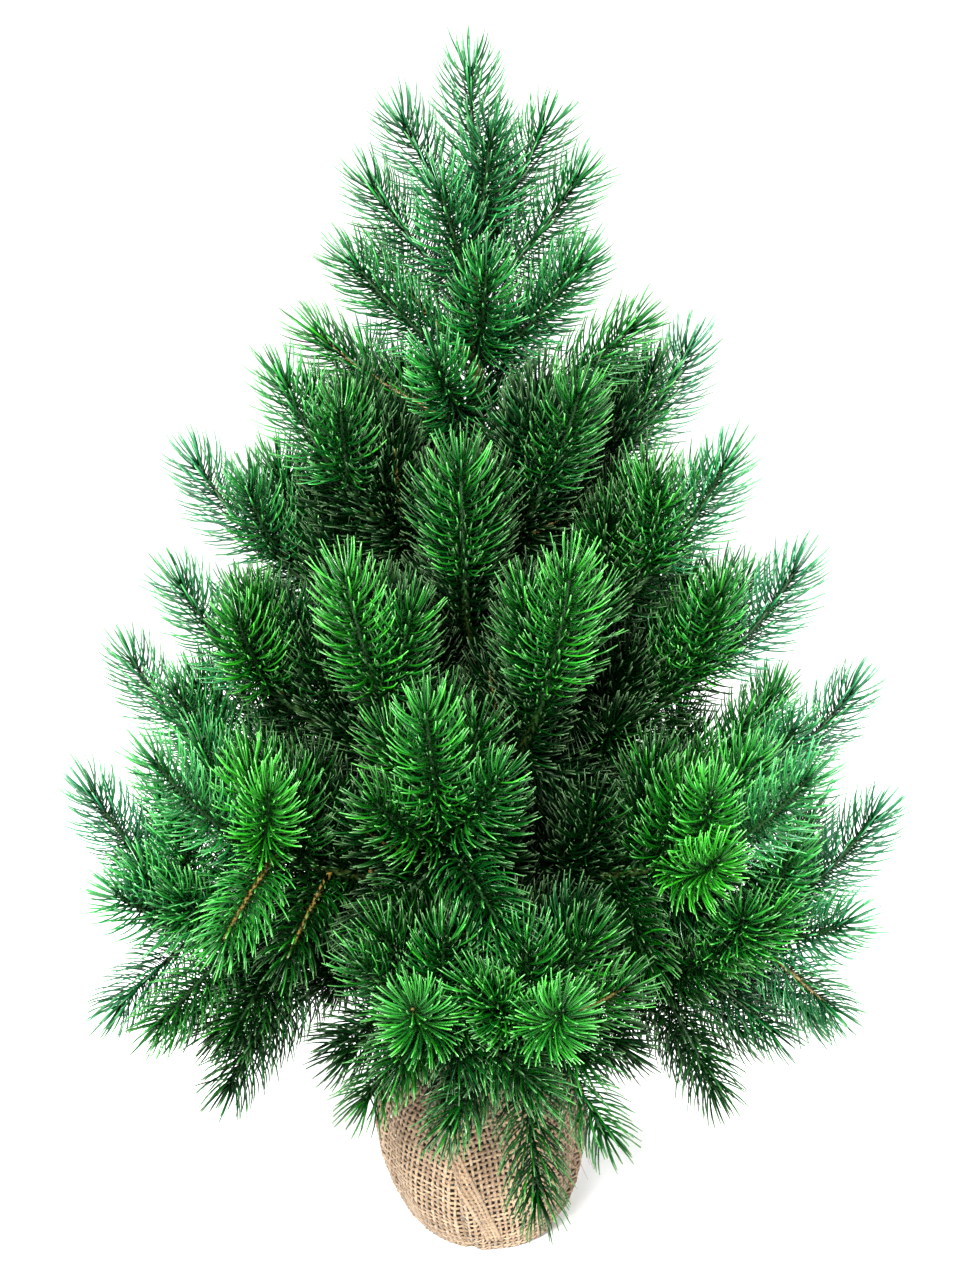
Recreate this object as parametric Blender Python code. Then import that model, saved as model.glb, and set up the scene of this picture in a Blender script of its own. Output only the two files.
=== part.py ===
"""Artificial tabletop tree in a burlap sack: metres, Z up, front towards -Y, origin under the trunk.

Every branch is a bendable wire with one moulded spray of sprigs pushed over its end.  Each sprig is
modelled as the stiff core of its needles.  A branch turns at its root, just outside the trunk wrap.
"""

import math

import bmesh
import bpy
import numpy as np

# Trunk and the wrap that holds the branch roots
POLE_R = 0.0030
POLE_LOW = 0.013
POLE_TOP = 0.421
WRAP_R = 0.0056
WRAP_BULGE = 0.0022
WRAP_LOW = 0.117
WRAP_TOP = 0.405
FIT_GAP = 0.0004

# Branch wires and the sockets of the sprays
WIRE_R = 0.0011
ROOT_GAP = 0.0009
SOCKET_R = 0.0015
SOCKET_DEPTH = 0.010
SPINE_R = 0.0024
SIDES = 6

# Stiff core of one sprig: (share of its length, radius)
SPRIG_CORE = (
    (0.00, 0.0012),
    (0.14, 0.0016),
    (0.34, 0.0046),
    (0.62, 0.0052),
    (0.86, 0.0040),
    (1.00, 0.0014),
)

# Cup, weight and burlap
CUP_X = 0.0015
CUP_WALL = 0.0015
# Outside of the cup, then the weight cast in it: (radius, height)
CUP_SIDE = (
    (0.0275, 0.0035),
    (0.0335, 0.0110),
    (0.0390, 0.0240),
    (0.0425, 0.0400),
    (0.0440, 0.0580),
    (0.0415, 0.0740),
)
WEIGHT_SIDE = (
    (0.0254, 0.0056),
    (0.0312, 0.0118),
    (0.0367, 0.0240),
    (0.0394, 0.0400),
    (0.0394, 0.0560),
)
# Middle and radius of the flat foot
FOOT_X = 0.0065
FOOT_R = 0.0160
BURLAP_WALL = 0.0012
BURLAP_SIDES = 48
# Burlap by height: (z, middle in x, half width, depth of the pleats)
BURLAP_RINGS = (
    (0.000, 0.0065, 0.0315, 0.0),
    (0.003, 0.0065, 0.0350, 0.0003),
    (0.011, 0.0050, 0.0408, 0.0008),
    (0.024, 0.0033, 0.0465, 0.0012),
    (0.040, 0.0020, 0.0508, 0.0014),
    (0.058, 0.0015, 0.0535, 0.0016),
    (0.074, 0.0010, 0.0510, 0.0020),
    (0.086, 0.0005, 0.0420, 0.0024),
    (0.095, 0.0000, 0.0290, 0.0022),
    (0.100, 0.0000, 0.0180, 0.0014),
    (0.1045, 0.0000, 0.0128, 0.0010),
    (0.1146, 0.0000, 0.0128, 0.0010),
    (0.119, 0.0000, 0.0185, 0.0022),
    (0.124, 0.0000, 0.0255, 0.0032),
    (0.129, 0.0000, 0.0300, 0.0036),
)
PLEATS = 11
NECK_R = 0.0128
TIE_TURNS = 3
TIE_R = 0.0011

# Sprigs along a branch: (share of its wire, turn to the left, lift, length)
FAN_LOW = (
    (0.31, 18, 60, 0.052),
    (0.40, 52, 16, 0.060),
    (0.50, -50, 20, 0.062),
    (0.66, 42, -24, 0.062),
    (0.80, -36, 26, 0.060),
    (0.92, 26, 36, 0.056),
)
FAN_LOW_LEFT = (
    (0.31, 18, 60, 0.052),
    (0.40, 58, 0, 0.060),
    (0.47, -50, 20, 0.062),
    (0.56, 40, -54, 0.078),
    (0.70, 34, -10, 0.074),
    (0.80, -38, -16, 0.068),
    (0.92, 26, -36, 0.062),
)
FAN_LOW_RIGHT = (
    (0.31, -18, 60, 0.052),
    (0.40, -58, 0, 0.060),
    (0.47, 50, 20, 0.062),
    (0.56, -38, -56, 0.072),
    (0.70, -34, -12, 0.072),
    (0.80, 38, -14, 0.066),
    (0.92, -24, -38, 0.064),
)
FAN_FRONT_LEFT = (
    (0.31, -24, 58, 0.050),
    (0.40, -54, 8, 0.058),
    (0.52, 8, -50, 0.054),
    (0.66, -46, -16, 0.062),
    (0.80, -36, 30, 0.058),
    (0.90, 16, 44, 0.050),
)
FAN_FRONT_RIGHT = (
    (0.31, 24, 58, 0.050),
    (0.40, 54, 8, 0.058),
    (0.54, 48, -16, 0.062),
    (0.68, 2, -66, 0.096),
    (0.78, 38, 26, 0.060),
    (0.90, -16, 44, 0.050),
)
FAN_RISE = (
    (0.32, -16, 58, 0.052),
    (0.40, -52, 22, 0.060),
    (0.52, 48, 18, 0.060),
    (0.64, 0, 54, 0.060),
    (0.78, -38, 28, 0.060),
    (0.92, 34, 24, 0.056),
)
FAN_SIDE = (
    (0.32, 16, 58, 0.052),
    (0.42, -46, 26, 0.058),
    (0.52, 48, 14, 0.060),
    (0.66, 2, 56, 0.060),
    (0.78, -38, 20, 0.060),
    (0.92, 32, 28, 0.056),
)
FAN_MID = (
    (0.34, 14, 56, 0.052),
    (0.44, 52, 22, 0.058),
    (0.58, -48, 24, 0.060),
    (0.74, 6, 56, 0.058),
    (0.90, -30, 36, 0.056),
)
FAN_FRONT_MID = (
    (0.34, 28, 62, 0.056),
    (0.44, -46, 52, 0.062),
    (0.56, 44, 54, 0.064),
    (0.66, -42, -64, 0.062),
    (0.78, 36, -62, 0.062),
    (0.90, 10, 40, 0.060),
)
FAN_FRONT_UP = (
    (0.36, 16, 64, 0.056),
    (0.48, 52, 44, 0.062),
    (0.60, -48, 46, 0.062),
    (0.74, 40, 30, 0.062),
    (0.88, -34, 26, 0.060),
)
FAN_DROP = (
    (0.34, 40, 30, 0.056),
    (0.46, -46, 14, 0.058),
    (0.62, 0, 52, 0.056),
    (0.80, -36, 34, 0.056),
    (0.92, 34, 22, 0.054),
)
FAN_TOP = (
    (0.44, 48, 20, 0.054),
    (0.60, -48, 20, 0.056),
    (0.86, 6, 46, 0.050),
)

# Branches: (root height, heading, wire length, lift at the root, lift at the end, last sprig, sprigs)
# A heading of 0 is to the right and -90 to the front.
BRANCHES = (
    (0.138, -162, 0.150, -3, 42, 0.078, FAN_LOW_LEFT),
    (0.145, -99, 0.116, 8, 4, 0.060, FAN_FRONT_LEFT),
    (0.145, -78, 0.122, 8, 4, 0.062, FAN_FRONT_RIGHT),
    (0.140, -19, 0.150, -4, 36, 0.078, FAN_LOW_RIGHT),
    (0.143, 44, 0.132, 8, 10, 0.070, FAN_LOW),
    (0.146, 116, 0.132, 8, 10, 0.070, FAN_LOW),
    (0.184, 170, 0.138, 10, 38, 0.072, FAN_RISE),
    (0.187, -142, 0.132, 6, 30, 0.074, FAN_DROP),
    (0.190, -99, 0.114, 12, 50, 0.070, FAN_FRONT_MID),
    (0.188, -37, 0.134, 5, 26, 0.072, FAN_SIDE),
    (0.184, 4, 0.140, 10, 30, 0.072, FAN_RISE),
    (0.188, 84, 0.130, 14, 16, 0.068, FAN_RISE),
    (0.240, -166, 0.112, 14, 42, 0.068, FAN_RISE),
    (0.240, -118, 0.108, 12, 58, 0.070, FAN_FRONT_UP),
    (0.244, -70, 0.108, 12, 58, 0.070, FAN_FRONT_UP),
    (0.243, -12, 0.120, 14, 40, 0.070, FAN_SIDE),
    (0.240, 50, 0.114, 18, 24, 0.066, FAN_MID),
    (0.243, 128, 0.114, 18, 24, 0.066, FAN_MID),
    (0.300, 174, 0.102, 18, 38, 0.066, FAN_MID),
    (0.299, -94, 0.088, 18, 62, 0.064, FAN_FRONT_UP),
    (0.295, -25, 0.104, 19, 48, 0.066, FAN_MID),
    (0.298, 78, 0.092, 24, 30, 0.064, FAN_MID),
    (0.348, -150, 0.080, 21, 50, 0.062, FAN_TOP),
    (0.352, -58, 0.066, 26, 50, 0.058, FAN_TOP),
    (0.350, 20, 0.086, 24, 46, 0.064, FAN_TOP),
    (0.352, 126, 0.074, 26, 48, 0.060, FAN_TOP),
)

# Leader spray: (height on the stem, heading, lift, length)
LEADER_LOW = 0.4065
LEADER_STEM_TOP = 0.5280
LEADER_R = 0.0046
LEADER_SPRIGS = (
    (0.418, 172, 18, 0.088),
    (0.421, -18, 20, 0.090),
    (0.416, -106, 20, 0.074),
    (0.420, 72, 20, 0.080),
    (0.446, -162, 32, 0.080),
    (0.450, -84, 36, 0.064),
    (0.447, -36, 32, 0.078),
    (0.451, 32, 32, 0.070),
    (0.448, 100, 32, 0.066),
    (0.452, 146, 32, 0.072),
    (0.480, 176, 40, 0.072),
    (0.484, -118, 50, 0.058),
    (0.482, -4, 42, 0.072),
    (0.486, 66, 46, 0.060),
    (0.510, -74, 60, 0.054),
    (0.514, 170, 50, 0.060),
    (0.512, 8, 52, 0.058),
)
LEADER_TIP_LENGTH = 0.0620


def unit(v):
    """The vector at length 1."""
    return v / np.linalg.norm(v)


def turned(v, axis, degrees):
    """v turned about an axis, by the right-hand rule."""
    a = math.radians(degrees)
    k = unit(axis)
    return v * math.cos(a) + np.cross(k, v) * math.sin(a) + k * (k @ v) * (1 - math.cos(a))


def heading(degrees, lift=0.0):
    """A unit vector at a heading round the trunk and a lift above the horizon."""
    a, b = math.radians(degrees), math.radians(lift)
    return np.array([math.cos(a) * math.cos(b), math.sin(a) * math.cos(b), math.sin(b)])


def wrap_radius(z):
    """Outer radius of the trunk wrap: it swells where the branch roots are bound in."""
    swell = 0.0
    for root in sorted({round(b[0], 2) for b in BRANCHES}):
        swell = max(swell, math.exp(-(((z - root - 0.002) / 0.012) ** 2)))
    return WRAP_R + WRAP_BULGE * swell - 0.0012 * max(0.0, (z - 0.14) / 0.33)


def wire_path(branch, count=9):
    """Points along a branch wire, from its root to the base of its last sprig."""
    root, around, length, lift_0, lift_1 = branch[:5]
    start = heading(around) * (wrap_radius(root) + ROOT_GAP) + np.array([0, 0, root])
    points = [start]
    for i in range(count - 1):
        share = (i + 0.5) / (count - 1)
        lift = lift_0 + (lift_1 - lift_0) * share
        points.append(points[-1] + heading(around, lift) * length / (count - 1))
    return np.array(points)


def at_share(path, share):
    """The point and direction at a share of a path's length."""
    place = share * (len(path) - 1)
    i = min(int(place), len(path) - 2)
    return path[i] + (path[i + 1] - path[i]) * (place - i), unit(path[i + 1] - path[i])


def sprig_path(base, direction, length, curl=0.75, count=6):
    """Points along a sprig: it sweeps upwards, or droops a little if it starts downwards."""
    bend = curl if direction[2] > -0.12 else -0.20
    points = [base]
    for i in range(count - 1):
        step = unit(direction + np.array([0.0, 0.0, bend * (i + 0.5) / (count - 1)]))
        points.append(points[-1] + step * length / (count - 1))
    return np.array(points)


def sprigs_of(branch):
    """The paths of a branch's sprigs, the last one first."""
    path = wire_path(branch)
    side_up = np.array([0.0, 0.0, 1.0])
    end, along = at_share(path, 1.0)
    found = [sprig_path(end, along, branch[5])]
    for share, turn, lift, length in branch[6]:
        base, along = at_share(path, share)
        level = turned(along, side_up, turn)
        across = np.cross(level, side_up)
        found.append(sprig_path(base, turned(level, across, lift), length))
    return found


def frames(points):
    """Two vectors across the path at each point, carried along with little twist."""
    tangents = np.gradient(points, axis=0)
    tangents /= np.linalg.norm(tangents, axis=1)[:, None]
    side = np.cross(tangents[0], [0.31, 0.17, 0.93])
    found = []
    for t in tangents:
        side = unit(side - t * (side @ t))
        found.append((side, np.cross(t, side)))
    return found


def loft(rings, low_cap=True, high_cap=True):
    """Vertices and faces of a closed surface through rings with the same number of points."""
    count = len(rings[0])
    verts = [tuple(p) for ring in rings for p in ring]
    faces = []
    for r in range(len(rings) - 1):
        for i in range(count):
            j = (i + 1) % count
            faces.append((r * count + i, r * count + j, (r + 1) * count + j, (r + 1) * count + i))
    if low_cap:
        verts.append(tuple(np.mean(rings[0], axis=0)))
        faces += [((i + 1) % count, i, len(verts) - 1) for i in range(count)]
    if high_cap:
        last = (len(rings) - 1) * count
        verts.append(tuple(np.mean(rings[-1], axis=0)))
        faces += [(last + i, last + (i + 1) % count, len(verts) - 1) for i in range(count)]
    return verts, faces


def add_mesh(name, verts, faces):
    """A new object in the scene, with its faces turned outwards."""
    mesh = bpy.data.meshes.new(name)
    mesh.from_pydata(verts, [], faces)
    work = bmesh.new()
    work.from_mesh(mesh)
    bmesh.ops.recalc_face_normals(work, faces=work.faces)
    if work.calc_volume(signed=True) < 0:
        bmesh.ops.reverse_faces(work, faces=work.faces)
    work.to_mesh(mesh)
    work.free()
    obj = bpy.data.objects.new(name, mesh)
    bpy.context.scene.collection.objects.link(obj)
    return obj


def tube_rings(points, radii, sides=SIDES, turn=0.0):
    """Rings round a path, one for each point."""
    rings = []
    angles = turn + np.arange(sides) * 2 * math.pi / sides
    for point, radius, (a, b) in zip(points, radii, frames(points)):
        rings.append([point + radius * (math.cos(w) * a + math.sin(w) * b) for w in angles])
    return rings


def tube(name, points, radii, sides=SIDES, turn=0.0):
    """A solid tube along a path."""
    return add_mesh(name, *loft(tube_rings(np.asarray(points), radii, sides, turn)))


def lathe(name, profile, sides, middle=(0.0, 0.0)):
    """A solid turned about an upright axis.  The profile runs from the axis back to the axis."""
    angles = np.arange(sides) * 2 * math.pi / sides
    rings = []
    for radius, z in profile:
        rings.append(
            [(middle[0] + radius * math.cos(a), middle[1] + radius * math.sin(a), z) for a in angles]
        )
    return add_mesh(name, *loft(rings))


def combined(obj, others, operation):
    """Applies one Boolean with all the other objects, and removes them."""
    group = bpy.data.collections.new(obj.name + "_operands")
    bpy.context.scene.collection.children.link(group)
    for other in others:
        bpy.context.scene.collection.objects.unlink(other)
        group.objects.link(other)
    step = obj.modifiers.new("combine", "BOOLEAN")
    step.operation = operation
    step.solver = "EXACT"
    step.operand_type = "COLLECTION"
    step.collection = group
    step.use_self = False
    graph = bpy.context.evaluated_depsgraph_get()
    mesh = bpy.data.meshes.new_from_object(obj.evaluated_get(graph))
    obj.modifiers.clear()
    obj.data = mesh
    for other in others:
        bpy.data.objects.remove(other)
    bpy.data.collections.remove(group)
    return obj


def sprig_core(path, index):
    """The stiff core of one sprig as a spindle."""
    shares = np.linspace(0, 1, len(path))
    wanted = [share for share, _ in SPRIG_CORE]
    points = np.array([[np.interp(s, shares, path[:, k]) for k in range(3)] for s in wanted])
    return tube(f"core_{index}", points, [radius for _, radius in SPRIG_CORE], SIDES, 0.4 * index)


def make_branch(number, branch):
    """The wire and the spray of one branch."""
    path = wire_path(branch)
    socket_share = 0.22
    mouth, along = at_share(path, socket_share)
    wire_end = socket_share + (SOCKET_DEPTH - 0.0008) / branch[2]
    shares = [0.0, 0.5 * socket_share, socket_share]
    wire_points = [at_share(path, s)[0] for s in shares]
    wire_points.append(mouth + along * (SOCKET_DEPTH - 0.0008))
    tube(f"branch_wire_{number:02d}", wire_points, [WIRE_R] * 4, 8)

    floor = mouth + along * SOCKET_DEPTH
    later = [s for s in (0.52, 0.77, 1.0) if s > wire_end + 0.03]
    outer = [mouth, floor] + [at_share(path, s)[0] for s in later]
    outer_r = [SPINE_R, SPINE_R] + [SPINE_R - 0.0005 * s for s in later]
    outer_rings = tube_rings(np.array(outer), outer_r, 8)
    a, b = frames(np.array(outer))[0]
    angles = np.arange(8) * 2 * math.pi / 8
    bore = []
    for place in (floor, mouth):
        bore.append([place + SOCKET_R * (math.cos(w) * a + math.sin(w) * b) for w in angles])
    spine = add_mesh(f"branch_spray_{number:02d}", *loft(bore + outer_rings))
    cores = [sprig_core(p, i) for i, p in enumerate(sprigs_of(branch))]
    return combined(spine, cores, "UNION")


def make_leader():
    """The upright spray, pushed over the top of the pole."""
    bore_r = POLE_R + FIT_GAP
    floor = POLE_TOP + FIT_GAP
    profile = (
        (bore_r, floor),
        (bore_r, LEADER_LOW),
        (LEADER_R, LEADER_LOW),
        (LEADER_R - 0.0004, floor + 0.004),
        (0.0026, LEADER_STEM_TOP),
    )
    stem = lathe("leader_spray", profile, 10)
    cores = []
    for index, path in enumerate(leader_paths()):
        cores.append(sprig_core(path, index))
    return combined(stem, cores, "UNION")


def leader_paths():
    """The paths of the leader's sprigs, the upright one first."""
    top = np.array([0.0, 0.0, LEADER_STEM_TOP - 0.001])
    found = [sprig_path(top, unit(np.array([-0.06, 0.0, 1.0])), LEADER_TIP_LENGTH)]
    for z, around, lift, length in LEADER_SPRIGS:
        base = np.array([0.0, 0.0, z]) + heading(around) * 0.0036
        found.append(sprig_path(base, heading(around, lift), length, 0.50))
    return found


def burlap_depth(z):
    """Depth over width of the burlap at a height: the front falls straight to the floor."""
    return 0.97 + 0.24 * max(0.0, 1.0 - z / 0.060)


def burlap_ring(z, middle, half_width, pleat, inset=0.0):
    """One level ring of the burlap, with pleats that fade out towards the bottom."""
    ring = []
    for i in range(BURLAP_SIDES):
        a = i * 2 * math.pi / BURLAP_SIDES
        wave = math.cos(PLEATS * a + 0.7) + 0.45 * math.sin((PLEATS - 4) * a + 1.9)
        lump = 0.018 * math.cos(3 * a + 0.6) * min(1.0, z / 0.02) * (half_width > 0.035)
        radius = half_width * (1 + lump) + pleat * wave * 0.69 - inset
        ring.append((middle + radius * math.cos(a), radius * math.sin(a) * burlap_depth(z), z))
    return ring


def make_burlap():
    """The wrap: a flat bottom, a round belly, a gathered neck and an open ruffle."""
    rings = [burlap_ring(0.0, FOOT_X, FOOT_R, 0.0)]
    rings += [burlap_ring(*row) for row in BURLAP_RINGS]
    for z, middle, half_width, pleat in reversed(BURLAP_RINGS):
        floor = BURLAP_WALL + 0.75 * z if z < 0.005 else z
        rings.append(burlap_ring(floor, middle, half_width, pleat, BURLAP_WALL))
    rings.append(burlap_ring(BURLAP_WALL, FOOT_X, FOOT_R, 0.0))
    add_mesh("burlap_wrap", *loft(rings))


def make_tie():
    """Twine wound round the gathered neck in a close coil."""
    count = 26
    pitch = 2 * TIE_R + 0.0002
    radius = NECK_R + 0.0018 + TIE_R
    points = []
    for i in range(count * TIE_TURNS + 1):
        a = i * 2 * math.pi / count
        z = 0.1062 + pitch * i / count
        points.append((radius * math.cos(a), 0.97 * radius * math.sin(a), z))
    tube("neck_tie", points, [TIE_R] * len(points))


def make_base():
    """The cup and the cast weight that holds the pole."""
    floor = CUP_SIDE[0]
    inside = [(radius - CUP_WALL, z) for radius, z in reversed(CUP_SIDE[1:])]
    inside.append((floor[0] - CUP_WALL, floor[1] + CUP_WALL))
    lathe("pot_liner", [*CUP_SIDE, *inside], 32, (CUP_X, 0.0))
    block = lathe("ballast_block", WEIGHT_SIDE, 32, (CUP_X, 0.0))
    bore = lathe("bore", ((POLE_R + FIT_GAP, POLE_LOW - 0.0008), (POLE_R + FIT_GAP, 0.08)), 16)
    combined(block, [bore], "DIFFERENCE")


def make_trunk():
    """The pole and the tape wound round it."""
    lathe("trunk_pole", ((POLE_R, POLE_LOW), (POLE_R, POLE_TOP)), 16)
    heights = np.linspace(WRAP_LOW, WRAP_TOP, 46)
    profile = [(wrap_radius(z), z) for z in heights]
    inner = POLE_R + FIT_GAP
    angles = np.arange(16) * 2 * math.pi / 16
    rings = []
    for radius, z in profile + [(inner, WRAP_TOP), (inner, WRAP_LOW)]:
        rings.append([(radius * math.cos(a), radius * math.sin(a), z) for a in angles])
    verts, faces = loft(rings, False, False)
    count = len(angles)
    last = (len(rings) - 1) * count
    for i in range(count):
        j = (i + 1) % count
        faces.append((last + i, last + j, j, i))
    add_mesh("trunk_wrap", verts, faces)


def main():
    """Builds the whole tree at rest."""
    for obj in list(bpy.data.objects):
        bpy.data.objects.remove(obj)
    make_base()
    make_burlap()
    make_tie()
    make_trunk()
    make_leader()
    for number, branch in enumerate(BRANCHES, 1):
        make_branch(number, branch)


main()
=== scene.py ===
"""Looks of the artificial tabletop tree: needles, stems, woven burlap, floor, light and camera."""

import math

import bpy
import numpy as np
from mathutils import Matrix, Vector


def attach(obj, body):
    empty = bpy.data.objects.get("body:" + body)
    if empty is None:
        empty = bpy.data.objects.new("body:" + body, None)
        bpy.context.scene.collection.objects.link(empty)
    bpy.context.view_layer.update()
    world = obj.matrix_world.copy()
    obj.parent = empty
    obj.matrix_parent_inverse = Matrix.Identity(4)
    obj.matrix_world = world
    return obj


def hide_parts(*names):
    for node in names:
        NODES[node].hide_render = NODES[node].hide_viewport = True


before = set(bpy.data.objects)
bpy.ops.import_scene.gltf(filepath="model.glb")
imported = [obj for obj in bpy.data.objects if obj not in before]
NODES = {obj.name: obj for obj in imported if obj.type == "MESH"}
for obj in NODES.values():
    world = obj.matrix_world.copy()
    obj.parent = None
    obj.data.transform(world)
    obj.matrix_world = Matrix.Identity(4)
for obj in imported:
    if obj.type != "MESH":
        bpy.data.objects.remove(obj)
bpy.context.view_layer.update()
RNG = np.random.default_rng(7)
UP = np.array([0.0, 0.0, 1.0])

# ----------------------------------------
# Skeleton of the tree, the same as in the CAD: metres, degrees, heading 0 to the right, -90 front

# The trunk wrap: its radius, how far it swells over the branch roots and over what height, its ends
WRAP_R = 0.0056
WRAP_BULGE = 0.0022
WRAP_BULGE_HEIGHT = 0.012
WRAP_LOW = 0.117
WRAP_TOP = 0.405
# Clearance between a wire's root and the wrap
ROOT_GAP = 0.0009
# Share of a wire at which its spray's hollow stem begins
SOCKET_SHARE = 0.22
WIRE_POINTS = 9
SPRIG_POINTS = 6
# How strongly sprigs sweep upwards (on the branches, on the leader) and how much falling ones droop
SWEEP_UP = 0.75
LEADER_SWEEP_UP = 0.50
DROOP = -0.20

# Sprigs along a branch: (share of its wire, turn to the left, lift, length)
FAN_LOW = (
    (0.31, 18, 60, 0.052),
    (0.40, 52, 16, 0.060),
    (0.50, -50, 20, 0.062),
    (0.66, 42, -24, 0.062),
    (0.80, -36, 26, 0.060),
    (0.92, 26, 36, 0.056),
)
FAN_LOW_LEFT = (
    (0.31, 18, 60, 0.052),
    (0.40, 58, 0, 0.060),
    (0.47, -50, 20, 0.062),
    (0.56, 40, -54, 0.078),
    (0.70, 34, -10, 0.074),
    (0.80, -38, -16, 0.068),
    (0.92, 26, -36, 0.062),
)
FAN_LOW_RIGHT = (
    (0.31, -18, 60, 0.052),
    (0.40, -58, 0, 0.060),
    (0.47, 50, 20, 0.062),
    (0.56, -38, -56, 0.072),
    (0.70, -34, -12, 0.072),
    (0.80, 38, -14, 0.066),
    (0.92, -24, -38, 0.064),
)
FAN_FRONT_LEFT = (
    (0.31, -24, 58, 0.050),
    (0.40, -54, 8, 0.058),
    (0.52, 8, -50, 0.054),
    (0.66, -46, -16, 0.062),
    (0.80, -36, 30, 0.058),
    (0.90, 16, 44, 0.050),
)
FAN_FRONT_RIGHT = (
    (0.31, 24, 58, 0.050),
    (0.40, 54, 8, 0.058),
    (0.54, 48, -16, 0.062),
    (0.68, 2, -66, 0.096),
    (0.78, 38, 26, 0.060),
    (0.90, -16, 44, 0.050),
)
FAN_RISE = (
    (0.32, -16, 58, 0.052),
    (0.40, -52, 22, 0.060),
    (0.52, 48, 18, 0.060),
    (0.64, 0, 54, 0.060),
    (0.78, -38, 28, 0.060),
    (0.92, 34, 24, 0.056),
)
FAN_SIDE = (
    (0.32, 16, 58, 0.052),
    (0.42, -46, 26, 0.058),
    (0.52, 48, 14, 0.060),
    (0.66, 2, 56, 0.060),
    (0.78, -38, 20, 0.060),
    (0.92, 32, 28, 0.056),
)
FAN_MID = (
    (0.34, 14, 56, 0.052),
    (0.44, 52, 22, 0.058),
    (0.58, -48, 24, 0.060),
    (0.74, 6, 56, 0.058),
    (0.90, -30, 36, 0.056),
)
FAN_FRONT_MID = (
    (0.34, 28, 62, 0.056),
    (0.44, -46, 52, 0.062),
    (0.56, 44, 54, 0.064),
    (0.66, -42, -64, 0.062),
    (0.78, 36, -62, 0.062),
    (0.90, 10, 40, 0.060),
)
FAN_FRONT_UP = (
    (0.36, 16, 64, 0.056),
    (0.48, 52, 44, 0.062),
    (0.60, -48, 46, 0.062),
    (0.74, 40, 30, 0.062),
    (0.88, -34, 26, 0.060),
)
FAN_DROP = (
    (0.34, 40, 30, 0.056),
    (0.46, -46, 14, 0.058),
    (0.62, 0, 52, 0.056),
    (0.80, -36, 34, 0.056),
    (0.92, 34, 22, 0.054),
)
FAN_TOP = (
    (0.44, 48, 20, 0.054),
    (0.60, -48, 20, 0.056),
    (0.86, 6, 46, 0.050),
)

# Branches: (root height, heading, wire length, lift at the root, lift at the end, last sprig, sprigs)
# A heading of 0 is to the right and -90 to the front.
BRANCHES = (
    (0.138, -162, 0.150, -3, 42, 0.078, FAN_LOW_LEFT),
    (0.145, -99, 0.116, 8, 4, 0.060, FAN_FRONT_LEFT),
    (0.145, -78, 0.122, 8, 4, 0.062, FAN_FRONT_RIGHT),
    (0.140, -19, 0.150, -4, 36, 0.078, FAN_LOW_RIGHT),
    (0.143, 44, 0.132, 8, 10, 0.070, FAN_LOW),
    (0.146, 116, 0.132, 8, 10, 0.070, FAN_LOW),
    (0.184, 170, 0.138, 10, 38, 0.072, FAN_RISE),
    (0.187, -142, 0.132, 6, 30, 0.074, FAN_DROP),
    (0.190, -99, 0.114, 12, 50, 0.070, FAN_FRONT_MID),
    (0.188, -37, 0.134, 5, 26, 0.072, FAN_SIDE),
    (0.184, 4, 0.140, 10, 30, 0.072, FAN_RISE),
    (0.188, 84, 0.130, 14, 16, 0.068, FAN_RISE),
    (0.240, -166, 0.112, 14, 42, 0.068, FAN_RISE),
    (0.240, -118, 0.108, 12, 58, 0.070, FAN_FRONT_UP),
    (0.244, -70, 0.108, 12, 58, 0.070, FAN_FRONT_UP),
    (0.243, -12, 0.120, 14, 40, 0.070, FAN_SIDE),
    (0.240, 50, 0.114, 18, 24, 0.066, FAN_MID),
    (0.243, 128, 0.114, 18, 24, 0.066, FAN_MID),
    (0.300, 174, 0.102, 18, 38, 0.066, FAN_MID),
    (0.299, -94, 0.088, 18, 62, 0.064, FAN_FRONT_UP),
    (0.295, -25, 0.104, 19, 48, 0.066, FAN_MID),
    (0.298, 78, 0.092, 24, 30, 0.064, FAN_MID),
    (0.348, -150, 0.080, 21, 50, 0.062, FAN_TOP),
    (0.352, -58, 0.066, 26, 50, 0.058, FAN_TOP),
    (0.350, 20, 0.086, 24, 46, 0.064, FAN_TOP),
    (0.352, 126, 0.074, 26, 48, 0.060, FAN_TOP),
)

# The leader's stem: its ends and its radius. Its sprigs: (height on the stem, heading, lift, length)
LEADER_LOW = 0.4065
LEADER_STEM_TOP = 0.5280
LEADER_R = 0.0046
LEADER_SPRIGS = (
    (0.418, 172, 18, 0.088),
    (0.421, -18, 20, 0.090),
    (0.416, -106, 20, 0.074),
    (0.420, 72, 20, 0.080),
    (0.446, -162, 32, 0.080),
    (0.450, -84, 36, 0.064),
    (0.447, -36, 32, 0.078),
    (0.451, 32, 32, 0.070),
    (0.448, 100, 32, 0.066),
    (0.452, 146, 32, 0.072),
    (0.480, 176, 40, 0.072),
    (0.484, -118, 50, 0.058),
    (0.482, -4, 42, 0.072),
    (0.486, 66, 46, 0.060),
    (0.510, -74, 60, 0.054),
    (0.514, 170, 50, 0.060),
    (0.512, 8, 52, 0.058),
)
LEADER_TIP_LENGTH = 0.0620


def unit(v):
    """Vectors at length 1, along the last axis."""
    v = np.asarray(v, float)
    return v / np.linalg.norm(v, axis=-1, keepdims=True)


def turned(v, axis, degrees):
    """v turned about an axis, by the right-hand rule."""
    a = math.radians(degrees)
    k = unit(axis)
    return v * math.cos(a) + np.cross(k, v) * math.sin(a) + k * (k @ v) * (1 - math.cos(a))


def heading(degrees, lift=0.0):
    """A unit vector at a heading round the trunk and a lift above the horizon."""
    a, b = math.radians(degrees), math.radians(lift)
    return np.array([math.cos(a) * math.cos(b), math.sin(a) * math.cos(b), math.sin(b)])


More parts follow.
